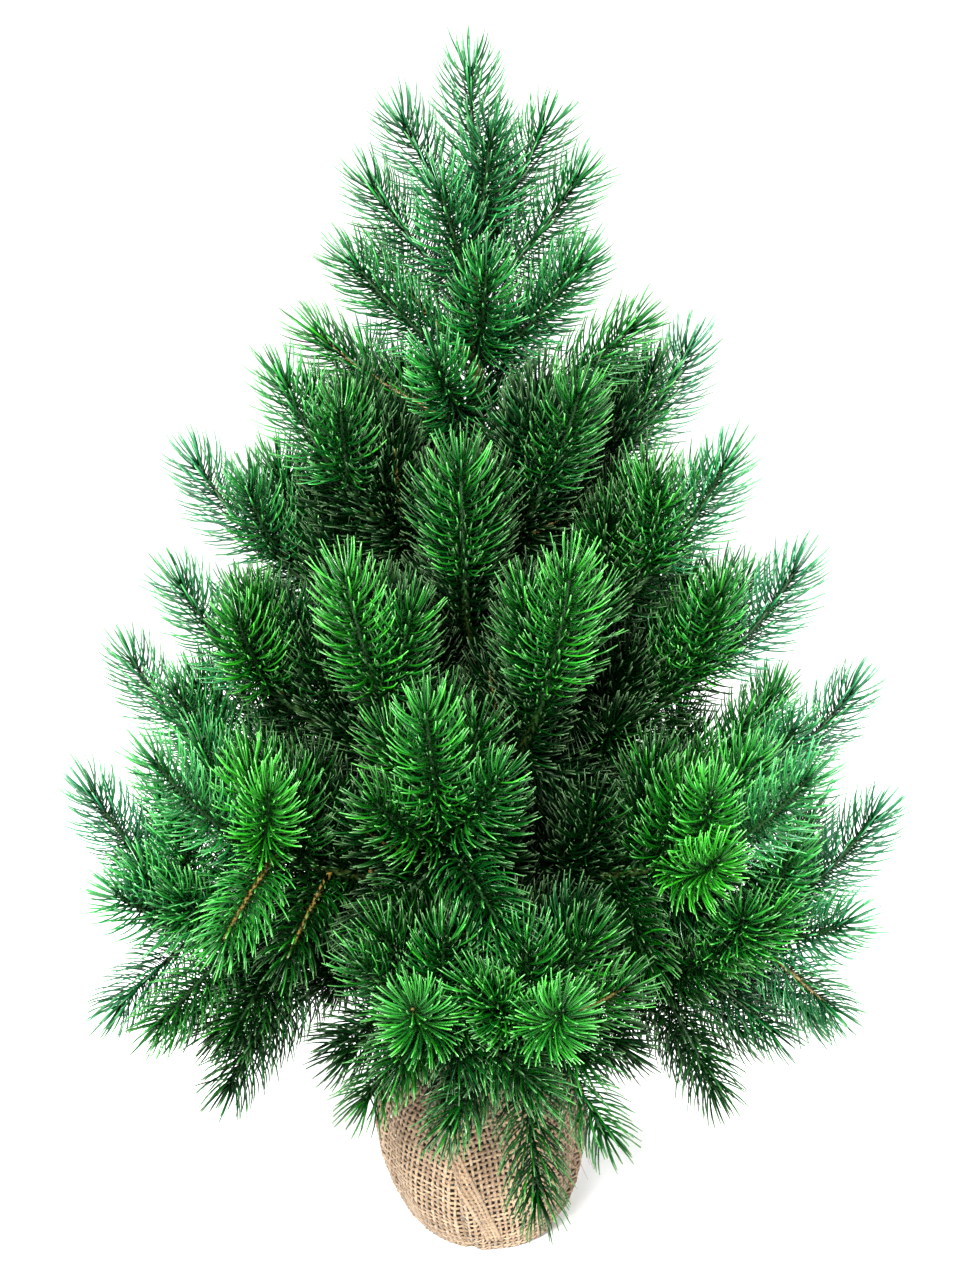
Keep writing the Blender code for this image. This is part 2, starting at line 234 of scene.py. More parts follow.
def wrap_radius(z):
    """Outer radius of the trunk wrap: it swells where the branch roots are bound in."""
    swell = 0.0
    for root in sorted({round(b[0], 2) for b in BRANCHES}):
        swell = max(swell, math.exp(-(((z - root - 0.002) / WRAP_BULGE_HEIGHT) ** 2)))
    return WRAP_R + WRAP_BULGE * swell - 0.0012 * max(0.0, (z - 0.14) / 0.33)


def wire_path(branch):
    """Points along a branch wire, from its root to the base of its last sprig."""
    root, around, length, lift_0, lift_1 = branch[:5]
    steps = WIRE_POINTS - 1
    points = [heading(around) * (wrap_radius(root) + ROOT_GAP) + np.array([0, 0, root])]
    for i in range(steps):
        lift = lift_0 + (lift_1 - lift_0) * ((i + 0.5) / steps)
        points.append(points[-1] + heading(around, lift) * length / steps)
    return np.array(points)


def at_share(path, share):
    """The point and direction at a share of a path's length."""
    place = share * (len(path) - 1)
    i = min(int(place), len(path) - 2)
    return path[i] + (path[i + 1] - path[i]) * (place - i), unit(path[i + 1] - path[i])


def sprig_path(base, direction, length, curl=SWEEP_UP):
    """Points along a sprig: it sweeps upwards, or droops a little if it starts downwards."""
    bend = curl if direction[2] > -0.12 else DROOP
    steps = SPRIG_POINTS - 1
    points = [base]
    for i in range(steps):
        step = unit(direction + np.array([0.0, 0.0, bend * (i + 0.5) / steps]))
        points.append(points[-1] + step * length / steps)
    return np.array(points)


def side_sprig(wire, share, turn, lift, length):
    """The path of a sprig at a share of a branch's wire, turned to the left of it and lifted."""
    base, along = at_share(wire, share)
    level = turned(along, UP, turn)
    return sprig_path(base, turned(level, np.cross(level, UP), lift), length)


def sprigs_of(branch):
    """The paths of a branch's sprigs that the CAD has too, the last one first."""
    wire = wire_path(branch)
    end, along = at_share(wire, 1.0)
    return [sprig_path(end, along, branch[5])] + [side_sprig(wire, *row) for row in branch[6]]


def leader_paths():
    """The paths of the leader's sprigs, the upright one first."""
    top = np.array([0.0, 0.0, LEADER_STEM_TOP - 0.001])
    found = [sprig_path(top, unit(np.array([-0.06, 0.0, 1.0])), LEADER_TIP_LENGTH)]
    for z, around, lift, length in LEADER_SPRIGS:
        base = np.array([0.0, 0.0, z]) + heading(around) * 0.0036
        found.append(sprig_path(base, heading(around, lift), length, LEADER_SWEEP_UP))
    return found


# ----------------------------------------
# Mesh helpers

# Share of a map cell left empty at each of its edges
CELL_EDGE = 0.06


class Shape:
    """Gathers tubes: vertices, faces, a colour for each vertex and a map cell for each tube."""

    def __init__(self):
        self.points, self.quads, self.tris, self.tints = [], [], [], []
        self.quad_slots, self.tri_slots = [], []
        self.quad_maps, self.tri_maps = [], []
        self.count = 0
        self.cells = 0

    def mapped(self, faces, sides, each, seam):
        """(cell, share round the tube, share along it) for each corner of each face."""
        copy, local = faces // each, faces % each
        ring, side = local // sides, local % sides
        if seam:
            side[:, 1:3] = np.where(side[:, 1:3] == 0, sides, side[:, 1:3])
        return np.stack([self.cells + copy, side / sides, ring / (each / sides - 1)], axis=-1)

    def add(self, rings, tints, slot=0):
        """Adds tubes with equal counts of points, (..., rings, sides, 3), and their tints."""
        count, sides = rings.shape[-3:-1]
        each = count * sides
        points = rings.reshape(-1, 3)
        copies = len(points) // each
        quads, tris = [repeated(faces, copies, each) for faces in tube_faces(count, sides)]
        self.quad_maps.append(self.mapped(quads, sides, each, True).reshape(-1, 3))
        self.tri_maps.append(self.mapped(tris, sides, each, False).reshape(-1, 3))
        self.cells += copies
        self.points.append(points)
        self.quads.append(quads + self.count)
        self.tris.append(tris + self.count)
        self.tints.append(np.broadcast_to(tints, rings.shape).reshape(-1, 3))
        self.quad_slots.append(np.full(len(quads), slot))
        self.tri_slots.append(np.full(len(tris), slot))
        self.count += len(points)

    def build(self, name, materials):
        """The mesh object, smooth-shaded, with its tints as the colour attribute called tint."""
        points = np.concatenate(self.points)
        quads, tris = np.concatenate(self.quads), np.concatenate(self.tris)
        mesh = bpy.data.meshes.new(name)
        mesh.vertices.add(len(points))
        mesh.vertices.foreach_set("co", points.astype(np.float32).ravel())
        corners = np.concatenate([quads.ravel(), tris.ravel()]).astype(np.int32)
        sizes = np.concatenate([np.full(len(quads), 4), np.full(len(tris), 3)])
        mesh.loops.add(len(corners))
        mesh.loops.foreach_set("vertex_index", corners)
        mesh.polygons.add(len(sizes))
        starts = np.concatenate([[0], np.cumsum(sizes)[:-1]]).astype(np.int32)
        mesh.polygons.foreach_set("loop_start", starts)
        slots = np.concatenate(self.quad_slots + self.tri_slots).astype(np.int32)
        mesh.polygons.foreach_set("material_index", slots)
        mesh.polygons.foreach_set("use_smooth", np.ones(len(sizes), bool))
        across = math.ceil(math.sqrt(self.cells))
        maps = np.concatenate(self.quad_maps + self.tri_maps)
        inset = CELL_EDGE + (1 - 2 * CELL_EDGE) * maps[:, 1:]
        corner = np.stack([maps[:, 0] % across, maps[:, 0] // across], axis=-1)
        layer = mesh.uv_layers.new(name="OFBake")
        layer.data.foreach_set("uv", ((corner + inset) / across).astype(np.float32).ravel())
        tint = mesh.attributes.new("tint", "FLOAT_COLOR", "POINT")
        colours = np.ones((len(points), 4), np.float32)
        colours[:, :3] = np.concatenate(self.tints)
        tint.data.foreach_set("color", colours.ravel())
        mesh.update(calc_edges=True)
        mesh.validate()
        for material in materials:
            mesh.materials.append(material)
        obj = bpy.data.objects.new(name, mesh)
        bpy.context.scene.collection.objects.link(obj)
        return obj


def tube_faces(rings, sides):
    """Quads between rings of points, and triangles that close the two ends."""
    quads, tris = [], []
    for r in range(rings - 1):
        for i in range(sides):
            j = (i + 1) % sides
            quads.append((r * sides + i, r * sides + j, (r + 1) * sides + j, (r + 1) * sides + i))
    last = (rings - 1) * sides
    for i in range(1, sides - 1):
        tris.append((0, i + 1, i))
        tris.append((last, last + i, last + i + 1))
    return np.array(quads), np.array(tris)


def repeated(faces, copies, step):
    """The same faces for each of many equal pieces whose points follow each other."""
    shift = np.arange(copies)[:, None, None] * step
    return (faces[None] + shift).reshape(-1, faces.shape[1])


def resampled(path, shares):
    """Points at shares of a path, on a smooth curve through its points."""
    path = np.asarray(path, float)
    here = np.linspace(0, 1, len(path))
    slopes = np.gradient(path, here, axis=0)
    i = np.clip(np.searchsorted(here, shares, side="right") - 1, 0, len(path) - 2)
    width = here[1]
    t = ((shares - here[i]) / width)[:, None]
    a, b = path[i], path[i + 1]
    da, db = slopes[i] * width, slopes[i + 1] * width
    h1, h2 = 2 * t**3 - 3 * t**2 + 1, t**3 - 2 * t**2 + t
    h3, h4 = -2 * t**3 + 3 * t**2, t**3 - t**2
    return a * h1 + da * h2 + b * h3 + db * h4


def carried_frames(points):
    """(directions, sides, ups) along a path, with little twist."""
    tangents = unit(np.gradient(points, axis=0))
    side = np.cross(tangents[0], [0.31, 0.17, 0.93])
    sides = []
    for t in tangents:
        side = unit(side - t * (side @ t))
        sides.append(side)
    sides = np.array(sides)
    return tangents, sides, np.cross(tangents, sides)


def around_once(sides):
    """Equal steps round a circle, in radians."""
    return np.arange(sides) * 2 * math.pi / sides


def sweep(points, radii, sides):
    """Rings of points round a path, (rings, sides, 3)."""
    points = np.asarray(points, float)
    _, a, b = carried_frames(points)
    w = around_once(sides)
    ring = np.cos(w)[None, :, None] * a[:, None] + np.sin(w)[None, :, None] * b[:, None]
    return points[:, None] + ring * np.asarray(radii, float).reshape(-1, 1, 1)


# ----------------------------------------
# Materials


class Paint:
    """A small helper to write a node material top to bottom."""

    def __init__(self, name):
        self.material = bpy.data.materials.new(name)
        self.material.use_nodes = True
        self.nodes = self.material.node_tree.nodes
        self.links = self.material.node_tree.links
        self.shader = self.nodes["Principled BSDF"]

    def new(self, kind, inputs=None, **settings):
        """A node with some settings, and inputs given as values or as other nodes' outputs."""
        node = self.nodes.new(kind)
        for key, value in settings.items():
            setattr(node, key, value)
        for key, value in (inputs or {}).items():
            self.put(node.inputs[key], value)
        return node

    def put(self, socket, value):
        """Links an output, or sets a value."""
        if isinstance(value, bpy.types.NodeSocket):
            self.links.new(value, socket)
        else:
            socket.default_value = value

    def set(self, **values):
        """Sets or links inputs of the Principled shader; underscores stand for spaces."""
        for key, value in values.items():
            self.put(self.shader.inputs[key.replace("_", " ")], value)
        return self

    def ramp(self, factor, stops):
        """A colour ramp: stops are (place, (r, g, b))."""
        node = self.new("ShaderNodeValToRGB", {"Fac": factor})
        points = node.color_ramp.elements
        while len(points) < len(stops):
            points.new(0.5)
        for point, (place, colour) in zip(points, stops):
            point.position = place
            point.color = (*colour, 1.0)
        return node.outputs["Color"]

    def noise(self, scale, detail=2.0, rough=0.5):
        """Noise in object space."""
        where = self.new("ShaderNodeTexCoord").outputs["Object"]
        settings = {"Vector": where, "Scale": scale, "Detail": detail, "Roughness": rough}
        return self.new("ShaderNodeTexNoise", settings).outputs["Fac"]

    def mixed(self, factor, a, b):
        """Two colours mixed: a where the factor is 0 and b where it is 1."""
        node = self.new("ShaderNodeMix", data_type="RGBA")
        self.put(node.inputs[0], factor)
        self.put(node.inputs[6], a)
        self.put(node.inputs[7], b)
        return node.outputs[2]

    def maths(self, how, a, b=0.0, c=0.0):
        """One maths step."""
        node = self.new("ShaderNodeMath", operation=how)
        for socket, value in zip(node.inputs, (a, b, c)):
            self.put(socket, value)
        return node.outputs[0]

    def tint(self):
        """The three parts of the tint attribute."""
        source = self.new("ShaderNodeAttribute", attribute_name="tint")
        split = self.new("ShaderNodeSeparateColor", {"Color": source.outputs["Color"]})
        return split.outputs[0], split.outputs[1], split.outputs[2]

    def bump(self, height, strength, distance):
        """Links a bump to the shader."""
        settings = {"Height": height, "Strength": strength, "Distance": distance}
        node = self.new("ShaderNodeBump", settings)
        self.put(self.shader.inputs["Normal"], node.outputs["Normal"])


def needle_material():
    """Moulded needles: tint holds the needle's lightness (painted shade deep in the crown and low
    down, with a random part), the place along it and the sprig's tone (which carries painted sky
    light).
    """
    paint = Paint("needle_plastic")
    own, along, tone = paint.tint()
    # Painted shade: the first tint part takes the needles from near black deep in the crown and low
    # down to bright green outside; it also sets their specular level.
    deep = (0.000, 0.005, 0.001)
    grass = (0.001, 0.090, 0.001)
    fresh = (0.040, 0.400, 0.014)
    sea = (0.001, 0.082, 0.030)
    warm = paint.ramp(own, [(0.0, deep), (0.45, grass), (1.0, fresh)])
    # Painted sky light: the cool ramp, mixed in by the sprig's tone, is partly painted sky light and
    # partly a random tone.
    dusk = (0.001, 0.020, 0.008)
    light_teal = (0.012, 0.180, 0.075)
    cool = paint.ramp(own, [(0.0, dusk), (0.5, sea), (1.0, light_teal)])
    body = paint.mixed(tone, warm, cool)
    pale = paint.maths("MULTIPLY", paint.maths("POWER", along, 6.0), 0.22)
    tipped = paint.mixed(pale, body, (0.30, 0.52, 0.24, 1.0))
    # Painted shade: each needle darkens towards its root, where it meets the stem.
    root = paint.maths("SUBTRACT", 1.0, along)
    shade = paint.maths("MULTIPLY", paint.maths("POWER", root, 1.25), 0.97)
    final = paint.mixed(shade, tipped, (0.001, 0.020, 0.002, 1.0))
    grain = paint.noise(900.0, 2.0)
    shine = paint.maths("MULTIPLY_ADD", own, 0.70, 0.08)
    paint.set(Base_Color=final, IOR=1.5, Specular_IOR_Level=shine)
    gloss = paint.new("ShaderNodeMapRange", {"Value": grain, "To Min": 0.20, "To Max": 0.32})
    paint.set(Roughness=gloss.outputs["Result"])
    paint.bump(grain, 0.12, 0.0002)
    return paint.material


def stem_material():
    """Moulded stems: tan and golden brown, or green; tint holds their painted shade in the hollows
    between cushions, and how green they are.
    """
    paint = Paint("stem_plastic")
    own, along, _ = paint.tint()
    patches = paint.noise(260.0, 3.0, 0.6)
    brown = (0.100, 0.050, 0.010)
    golden = (0.330, 0.190, 0.050)
    mossy = (0.090, 0.130, 0.018)
    tan = paint.ramp(patches, [(0.30, brown), (0.50, golden), (0.72, mossy)])
    green = (0.003, 0.035, 0.003, 1.0)
    colour = paint.mixed(along, tan, green)
    # Painted shade: points sunk in the hollows between cushions darken, up to half-way, towards near
    # black.
    final = paint.mixed(paint.maths("MULTIPLY", own, 0.5), colour, (0.008, 0.010, 0.003, 1.0))
    paint.set(Base_Color=final, Roughness=0.52, IOR=1.5)
    paint.bump(paint.noise(1400.0, 3.0), 0.4, 0.0004)
    return paint.material


def wire_material():
    """Wire wound with thin dark green tape."""
    paint = Paint("wire_tape")
    coord = paint.new("ShaderNodeTexCoord").outputs["Object"]
    lines = paint.new(
        "ShaderNodeTexWave",
        {"Vector": coord, "Scale": 300.0, "Distortion": 1.5, "Detail": 1.0},
        bands_direction="DIAGONAL",
    ).outputs["Fac"]
    colour = paint.ramp(lines, [(0.1, (0.010, 0.016, 0.006)), (0.8, (0.030, 0.050, 0.016))])
    paint.set(Base_Color=colour, Roughness=0.7)
    paint.bump(lines, 0.5, 0.0003)
    return paint.material


def trunk_material():
    """Brown paper tape: tint holds how near the edge of its turn it is, where it is darker: painted
    shade just below the step to the next turn.
    """
    paint = Paint("trunk_tape")
    own, _, _ = paint.tint()
    fibres = paint.noise(700.0, 4.0, 0.65)
    colour = paint.ramp(fibres, [(0.3, (0.012, 0.009, 0.005)), (0.7, (0.034, 0.024, 0.013))])
    # Painted shade: near the step to the next turn the tape darkens towards near black.
    final = paint.mixed(paint.maths("MULTIPLY", own, 0.7), colour, (0.008, 0.006, 0.003, 1.0))
    paint.set(Base_Color=final, Roughness=0.82)
    paint.bump(fibres, 0.5, 0.0003)
    return paint.material


def jute_material(name, dark, mid, light):
    """Jute: tint holds the yarn's own tone and, in its last part, painted shade where the yarn dips
    under its neighbours.
    """
    paint = Paint(name)
    own, _, under_yarn_shade = paint.tint()
    fibres = paint.noise(1600.0, 3.0, 0.7)
    slubs = paint.noise(160.0)
    value = paint.maths("MULTIPLY", own, 0.55)
    value = paint.maths("ADD", value, paint.maths("MULTIPLY", slubs, 0.45))
    value = paint.maths("MULTIPLY_ADD", paint.maths("SUBTRACT", fibres, 0.5), 0.5, value)
    colour = paint.ramp(value, [(0.18, dark), (0.50, mid), (0.85, light)])
    # Painted shade: where a yarn dips under its neighbours it darkens towards a dark fifth of the
    # middle tone.
    painted_shade = paint.maths("MULTIPLY", under_yarn_shade, 0.8)
    final = paint.mixed(painted_shade, colour, (*[0.22 * c for c in mid], 1.0))
    paint.set(Base_Color=final, Roughness=0.86, Sheen_Weight=0.25, Sheen_Roughness=0.5)
    paint.bump(fibres, 0.7, 0.0004)
    return paint.material


def plain_material(name, low, high, scale, rough, bump=0.2, metal=0.0):
    """A simple worked surface: two tones of noise and a fine bump."""
    paint = Paint(name)
    grain = paint.noise(scale, 4.0, 0.6)
    colour = paint.ramp(grain, [(0.3, low), (0.7, high)])
    paint.set(Base_Color=colour, Roughness=rough, Metallic=metal)
    paint.bump(paint.noise(scale * 4, 3.0), bump, 0.0005)
    return paint.material


# ----------------------------------------
# Foliage

# Radius of the crown by height
CROWN_HEIGHTS = (0.06, 0.16, 0.30, 0.45, 0.60)
CROWN_REACH = (0.15, 0.20, 0.17, 0.11, 0.04)
# The pair of sprigs at a branch's end: (turn to the left, lift)
END_PAIR = ((54, 4), (-54, 8))
# Branches rooted below this height carry the skirt, and those below the next one hang some sprigs
SKIRT_TOP = 0.16
LOW_TIERS_TOP = 0.20

# A needle is a three-sided spike: places along it, and its half width there
NEEDLE_SIDES = 3
NEEDLE_STOPS = np.array([0.0, 0.25, 0.5, 0.75, 1.0])
NEEDLE_HALF_WIDTH = np.array([0.00042, 0.00052, 0.00055, 0.00050, 0.00026])
NEEDLE_FLATNESS = (1.1, 0.8)
NEEDLE_LENGTH = 0.0270
NEEDLES_PER_METRE = 2500
# Places along a sprig, and there: the needles' lean away from it, their bend towards its tip, in
# degrees, and their size. Only a sprig ends in a tuft, not a branch's wire or the leader's stem.
LEAN_PLACES = (0, 0.25, 0.7, 0.9, 1.0)
LEAN_WITH_TUFT = (88, 80, 68, 54, 30)
LEAN_WITHOUT_TUFT = (80, 76, 72, 70, 66)
BEND_PLACES = (0, 0.8, 1.0)
BEND = (46, 42, 22)
SIZE_PLACES = (0, 0.12, 0.35, 0.8, 1.0)
SIZE = (0.74, 0.90, 1.0, 0.98, 0.80)
# The share of a sprig that is bare at its base
BARE_SHARE = 0.10
GOLDEN_ANGLE = math.radians(137.508)
ANY_TURN = 6.28
FINE_POINTS = 40

# Moulded stems: length of one cushion, sides, and the material's slot on a foliage piece
CUSHION_STEP = 0.0013
STEM_SIDES = 6
SOCKET_SIDES = 8
STEM_SLOT = 1
# Radii of a stem at its base and tip, in metres
SPRIG_STEM = (0.0016, 0.0008)
FILLER_STEM = (0.0014, 0.0007)
LEADER_STEM = (LEADER_R, 0.0024)
# The mouth of a branch's thick stem: the bore's radius and depth
BORE_R = 0.0015
BORE_DEPTH = 0.0085


def path_length(path):
    """The length of a path."""
    return np.linalg.norm(np.diff(path, axis=0), axis=1).sum()


def add_needles(shape, path, tone, reach=1.0, per_metre=NEEDLES_PER_METRE, tuft=True):
    """Needles all round a path, leaning forward and curving towards its tip."""
    count = max(6, int(per_metre * path_length(path) * (1.0 - BARE_SHARE)))
    fine = resampled(path, np.linspace(0, 1, FINE_POINTS))
    tangents, sides, ups = carried_frames(fine)
    place = (np.arange(count) + 0.5 + RNG.uniform(-0.35, 0.35, count)) / count
    at = (BARE_SHARE + (1.0 - BARE_SHARE) * place) * (FINE_POINTS - 1)
    low = np.clip(at.astype(int), 0, FINE_POINTS - 2)
    part = (at - low)[:, None]

    def between(values):
        return values[low] * (1 - part) + values[low + 1] * part

    around = np.arange(count) * GOLDEN_ANGLE + RNG.uniform(0, ANY_TURN) + RNG.normal(0, 0.10, count)
    t = unit(between(tangents))
    out = np.cos(around)[:, None] * between(sides) + np.sin(around)[:, None] * between(ups)
    leans = LEAN_WITH_TUFT if tuft else LEAN_WITHOUT_TUFT
    lean = np.radians(np.interp(place, LEAN_PLACES, leans))
    lean = lean + RNG.normal(0, 0.04, count) * (1 + 2.5 * (place > 0.92))
    bend = np.radians(np.interp(place, BEND_PLACES, BEND) + RNG.normal(0, 4, count))
    first = np.cos(lean)[:, None] * t + np.sin(lean)[:, None] * out
    later = np.maximum(lean - bend, 0.05)
    last = np.cos(later)[:, None] * t + np.sin(later)[:, None] * out
    last = unit(last + RNG.normal(0, 0.030, (count, 3)))
    size = NEEDLE_LENGTH * reach * np.interp(place, SIZE_PLACES, SIZE)
    size = size * RNG.uniform(0.86, 1.06, count)
    base = between(fine) + out * 0.0004

    # The middle line of each needle, then rings of points round it
    w = NEEDLE_STOPS[None, :, None]
    step = first[:, None] * w + 0.5 * (last - first)[:, None] * w**2
    middle = base[:, None] + size[:, None, None] * step
    heading_here = unit(first[:, None] + (last - first)[:, None] * w)
    across = unit(np.cross(t, out))[:, None]
    over = np.cross(heading_here, across)
    angles = math.pi / 2 + around_once(NEEDLE_SIDES)
    wide, thick = NEEDLE_FLATNESS
    rings = np.cos(angles)[None, None, :, None] * across[:, :, None] * wide
    rings = rings + np.sin(angles)[None, None, :, None] * over[:, :, None] * thick
    stout = RNG.uniform(0.90, 1.14, count)[:, None, None, None]
    points = middle[:, :, None] + rings * NEEDLE_HALF_WIDTH[None, :, None, None] * stout

    # The needle's lightness: painted shade from the sprig's place in the crown, plus a random tone for
    # each needle
    own = np.clip(painted_crown_shade(path) + RNG.normal(0, 0.18, count), 0, 1)
    # The sprig's tone, with painted sky light in it, and a little random spread for each needle
    cool = np.clip(tone + RNG.normal(0, 0.10, count), 0, 1)
    tints = np.zeros(points.shape)
    tints[..., 0] = own[:, None, None]
    tints[..., 1] = NEEDLE_STOPS[None, :, None]
    tints[..., 2] = cool[:, None, None]
    shape.add(points, tints)


def cushions(shares, sides, size, smooth_share):
    """How far each point of a stem's rings stands out, and its painted shade where it is sunk in a
    hollow.
    """
    spread = RNG.uniform(-1, 1, (len(shares), sides, 1))
    nubs = 1 + size * spread * (shares > smooth_share)[:, None, None]
    return nubs, np.clip((1 - nubs[..., 0]) * 2.5, 0, 1)


def add_stem(shape, path, radii, greens):
    """A moulded stem with the little cushions that the needles leave from."""
    count = max(8, int(path_length(path) / CUSHION_STEP))
    shares = np.linspace(0, 1, count)
    points = resampled(path, shares)
    rings = sweep(points, np.interp(shares, [0, 1], radii), STEM_SIDES)
    middle = points[:, None]
    nubs, painted_shade = cushions(shares, STEM_SIDES, 0.30, 0.01)
    rings = middle + (rings - middle) * nubs
    tints = np.zeros(rings.shape)
    tints[..., 0] = painted_shade
    tints[..., 1] = np.interp(shares, [0, 1], greens)[:, None]
    shape.add(rings, tints, STEM_SLOT)


def crown_reach(height):
    """Radius of the crown at a height."""
    return float(np.interp(height, CROWN_HEIGHTS, CROWN_REACH))


def tone_with_painted_skylight(path):
    """How blue a sprig is: a random tone, plus painted sky light that makes those at the outline, at
    the back and at the top cooler.
    """
    x, y, z = path[-1]
    outline = np.clip((abs(x) / crown_reach(z) - 0.66) / 0.34, 0, 1)
    far = np.clip((y + 0.01) / 0.06, 0, 1)
    top = np.clip((z - 0.40) / 0.12, 0, 1)
    cool = 0.10 + 0.85 * max(outline, 0.8 * far, 0.75 * top)
    return float(np.clip(cool + RNG.normal(0, 0.10), 0.0, 1.0))


def stem_greens():
    """How green a sprig's stem is at its base and its tip: a few stems show tan."""
    return (0.15, 0.70) if RNG.uniform() < 0.06 else (1.0, 1.1)


def alternating(shares):
    """(number, share, side) for each share: the sides take turns, and the first is the right one."""
    return [(number, share, 1 if number % 2 else -1) for number, share in enumerate(shares)]


def filling_sprigs(branch):
    """Shorter sprigs: near the trunk in all directions, along the wire, and a pair at its end."""
    wire = wire_path(branch)
    low = branch[0] < LOW_TIERS_TOP
    # The lowest branches keep clear of the sack
    steepest = -20 if branch[0] < SKIRT_TOP else -60
    found = []
    for _, share, side in alternating(np.linspace(0.22, 0.42, 7)):
        turn, lift = side * RNG.uniform(30, 90), RNG.uniform(steepest, 60)
        found.append(side_sprig(wire, share, turn, lift, RNG.uniform(0.040, 0.052)))
    for number, share, side in alternating(np.linspace(0.44, 0.90, 8 if low else 5)):
        hanging = low and number % 4 > 1
        lift = RNG.uniform(-54, -14) if hanging else RNG.uniform(20, 60)
        length = RNG.uniform(0.056, 0.070) if hanging else RNG.uniform(0.044, 0.056)
        found.append(side_sprig(wire, share, side * RNG.uniform(25, 70), lift, length))
    if branch[0] < SKIRT_TOP:
        found += skirt_sprigs(branch, wire)
    for turn, lift in END_PAIR:
        lift = lift + RNG.uniform(-10, 10)
        found.append(side_sprig(wire, 0.96, turn + RNG.uniform(-8, 8), lift, 0.80 * branch[5]))
    return found


def skirt_sprigs(branch, wire):
    """The lowest branches' outward and drooping sprigs; those in front of the sack droop less."""
    front = abs(branch[1] + 90) < 30
    steepest, flattest = (-14, 4) if front else (-40, -12)
    longest = 0.054 if front else 0.072
    found = []
    for _, share, side in alternating((0.42, 0.54, 0.66, 0.78, 0.90)):
        _, along = at_share(wire, share)
        lift = RNG.uniform(steepest, flattest) - math.degrees(math.asin(along[2]))
        turn = side * RNG.uniform(4, 32)
        found.append(side_sprig(wire, share, turn, lift, longest * RNG.uniform(0.82, 1.0)))
    return found


def crown_depth(path):
    """How deep inside the crown a sprig lies: 1 at the trunk, 0 at the outline."""
    x, y, z = path[len(path) // 2]
    return float(np.clip(1.0 - math.hypot(x, y) / crown_reach(z), 0.0, 1.0))


def painted_crown_shade(path):
    """Painted shade, as how light a sprig's needles are: full outside, fading to almost black at the
    trunk and below.
    """
    on_leader = path[0][2] > LEADER_LOW
    if on_leader:
        return 0.60
    low = 0.26 * float(np.interp(path[-1][2], (0.13, 0.20), (1.0, 0.0)))
    return 0.80 - low - 2.2 * max(0.0, crown_depth(path) - 0.16)


def make_foliage():
    """One piece for each branch and one for the leader."""
    needle, stem = needle_material(), stem_material()
    for number, branch in enumerate(BRANCHES, 1):
        shape = Shape()
        wire = wire_path(branch)
        spine = np.array([at_share(wire, s)[0] for s in np.linspace(SOCKET_SHARE, 1.0, 9)])
        tone = tone_with_painted_skylight(wire)
        for path in sprigs_of(branch):
            add_needles(shape, path, tone_with_painted_skylight(path))
            add_stem(shape, path, SPRIG_STEM, stem_greens())
        add_needles(shape, spine, tone, reach=0.95, per_metre=1700, tuft=False)
        for path in filling_sprigs(branch):
            add_needles(shape, path, tone_with_painted_skylight(path), reach=0.92)
            add_stem(shape, path, FILLER_STEM, stem_greens())
        add_socket(shape, spine)
        name = f"sprigs_{number:02d}"
        obj = shape.build(name, [needle, stem])
        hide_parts(f"branch_spray_{number:02d}")
        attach(obj, f"branch_{number:02d}")
    shape = Shape()
    for path in leader_paths():
        add_needles(shape, path, tone_with_painted_skylight(path), per_metre=2600)
        add_stem(shape, path, SPRIG_STEM, stem_greens())
    low, high = np.array([0, 0, LEADER_LOW]), np.array([0, 0, LEADER_STEM_TOP])
    trunk = low + (high - low) * np.linspace(0, 1, 9)[:, None]
    add_needles(shape, trunk, 0.3, reach=0.95, per_metre=1500, tuft=False)
    add_stem(shape, trunk, LEADER_STEM, (0.6, 0.9))
    obj = shape.build("sprigs_leader", [needle, stem])
    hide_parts("leader_spray")
    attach(obj, "base")


def add_socket(shape, spine):
    """The thick moulded stem of a branch, hollow at its mouth where the wire goes in."""
    shares = np.linspace(0, 1, int(path_length(spine) / CUSHION_STEP))
    points = resampled(spine, shares)
    radii = np.interp(shares, [0, 0.04, 0.12, 1], [0.0021, 0.0025, 0.0024, 0.0017])
    rings = sweep(points, radii, SOCKET_SIDES)
    nubs, painted_shade = cushions(shares, SOCKET_SIDES, 0.20, 0.02)
    rings = points[:, None] + (rings - points[:, None]) * nubs
    # Two rings make the bore: one deep inside and one at the mouth, then the outside follows
    bore = sweep(points[:2], [BORE_R, BORE_R], SOCKET_SIDES)
    deep = bore[1] + unit(points[1] - points[0]) * BORE_DEPTH
    stack = np.concatenate([deep[None], bore[:1], rings])
    tints = np.zeros(stack.shape)
    # Painted shade: the bore's two rings are fully darkened, and the outside darkens in its hollows.
    tints[:2, :, 0] = 1.0
    tints[2:, :, 0] = painted_shade
    tints[2:, :, 1] = (0.85 + 0.15 * shares)[:, None]
    shape.add(stack, tints, STEM_SLOT)


# ----------------------------------------
# Trunk

# Tape: its rise in one turn, the step at its edge, and how rough its face is
TAPE_RISE = 0.0075
TAPE_STEP = 0.00035
TAPE_ROUGHNESS = 0.00003


